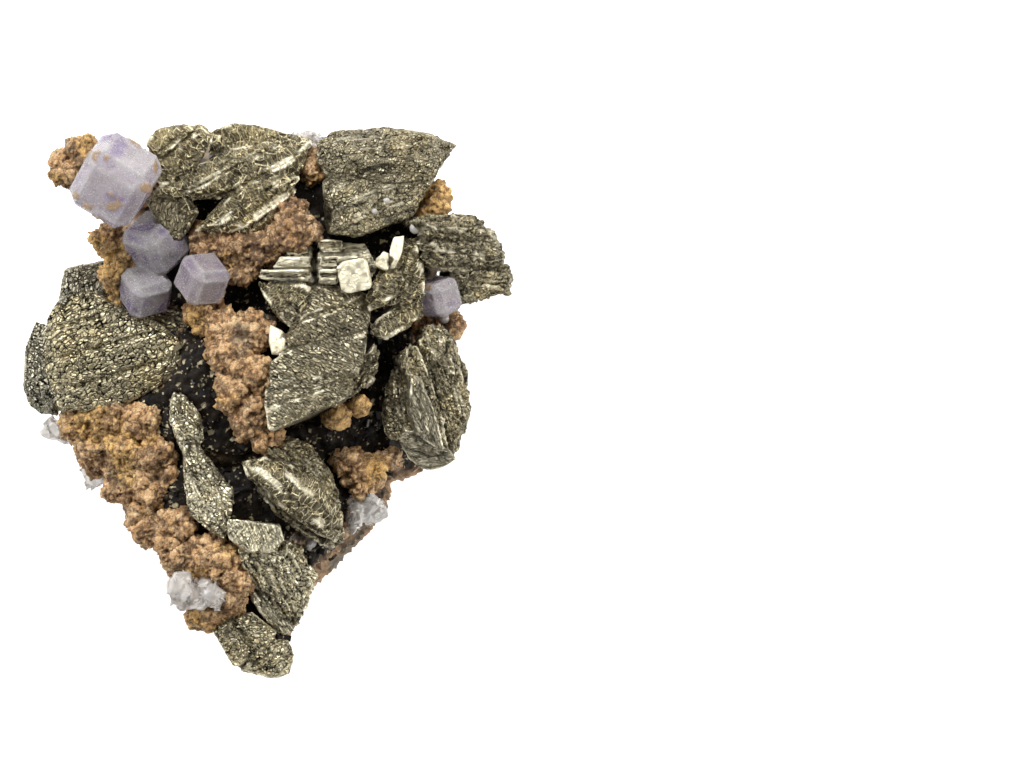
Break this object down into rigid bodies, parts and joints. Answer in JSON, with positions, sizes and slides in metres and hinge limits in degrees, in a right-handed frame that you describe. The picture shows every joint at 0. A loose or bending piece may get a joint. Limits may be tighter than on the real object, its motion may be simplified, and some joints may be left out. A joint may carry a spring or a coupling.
{
  "type": "arsenopyrite specimen",
  "caption": "Mineral specimen of striated, leaf-shaped metallic arsenopyrite crystals on matrix, with lilac fluorite, tan siderite crusts and pale quartz; lies on a flat back.",
  "frame": {"origin": "on the flat back of the matrix, near the middle of the specimen", "axes": "+Z out of the display face, +Y towards the top of the display face, +X towards its right"},
  "size_m": [0.0829, 0.0928, 0.0432],
  "materials": {
    "arsenopyrite": "metallic, striated, bronze-tarnished silver grey",
    "fluorite": "translucent lilac, slightly frosted",
    "quartz": "translucent white, frosted",
    "siderite": "matte, granular, tan",
    "matrix": "dark, glittering with tiny crystals"
  },
  "bodies": {
    "root": {"arsenopyrite_centre": "arsenopyrite", "arsenopyrite_upper_left": "arsenopyrite", "arsenopyrite_upper_right": "arsenopyrite", "arsenopyrite_right": "arsenopyrite", "arsenopyrite_left": "arsenopyrite", "arsenopyrite_right_lower": "arsenopyrite", "arsenopyrite_blade": "arsenopyrite", "arsenopyrite_lower_middle": "arsenopyrite", "arsenopyrite_bottom": "arsenopyrite", "arsenopyrite_tip": "arsenopyrite", "fluorite_large": "fluorite", "fluorite_pair": "fluorite", "fluorite_middle": "fluorite", "fluorite_right": "fluorite", "quartz_lower_left": "quartz", "quartz_right_lower": "quartz", "quartz_gap": "quartz", "quartz_left_upper": "quartz", "quartz_left_lower": "quartz", "quartz_top": "quartz", "quartz_right_flank": "quartz", "siderite_upper_left": "siderite", "siderite_fluorite_seat": "siderite", "siderite_upper_middle": "siderite", "siderite_centre": "siderite", "siderite_left_flank": "siderite", "siderite_upper_right": "siderite", "siderite_top_gap": "siderite", "siderite_right_pocket": "siderite", "siderite_right_flank": "siderite", "siderite_drops": "siderite", "matrix": "matrix"}
  },
  "joints": []
}
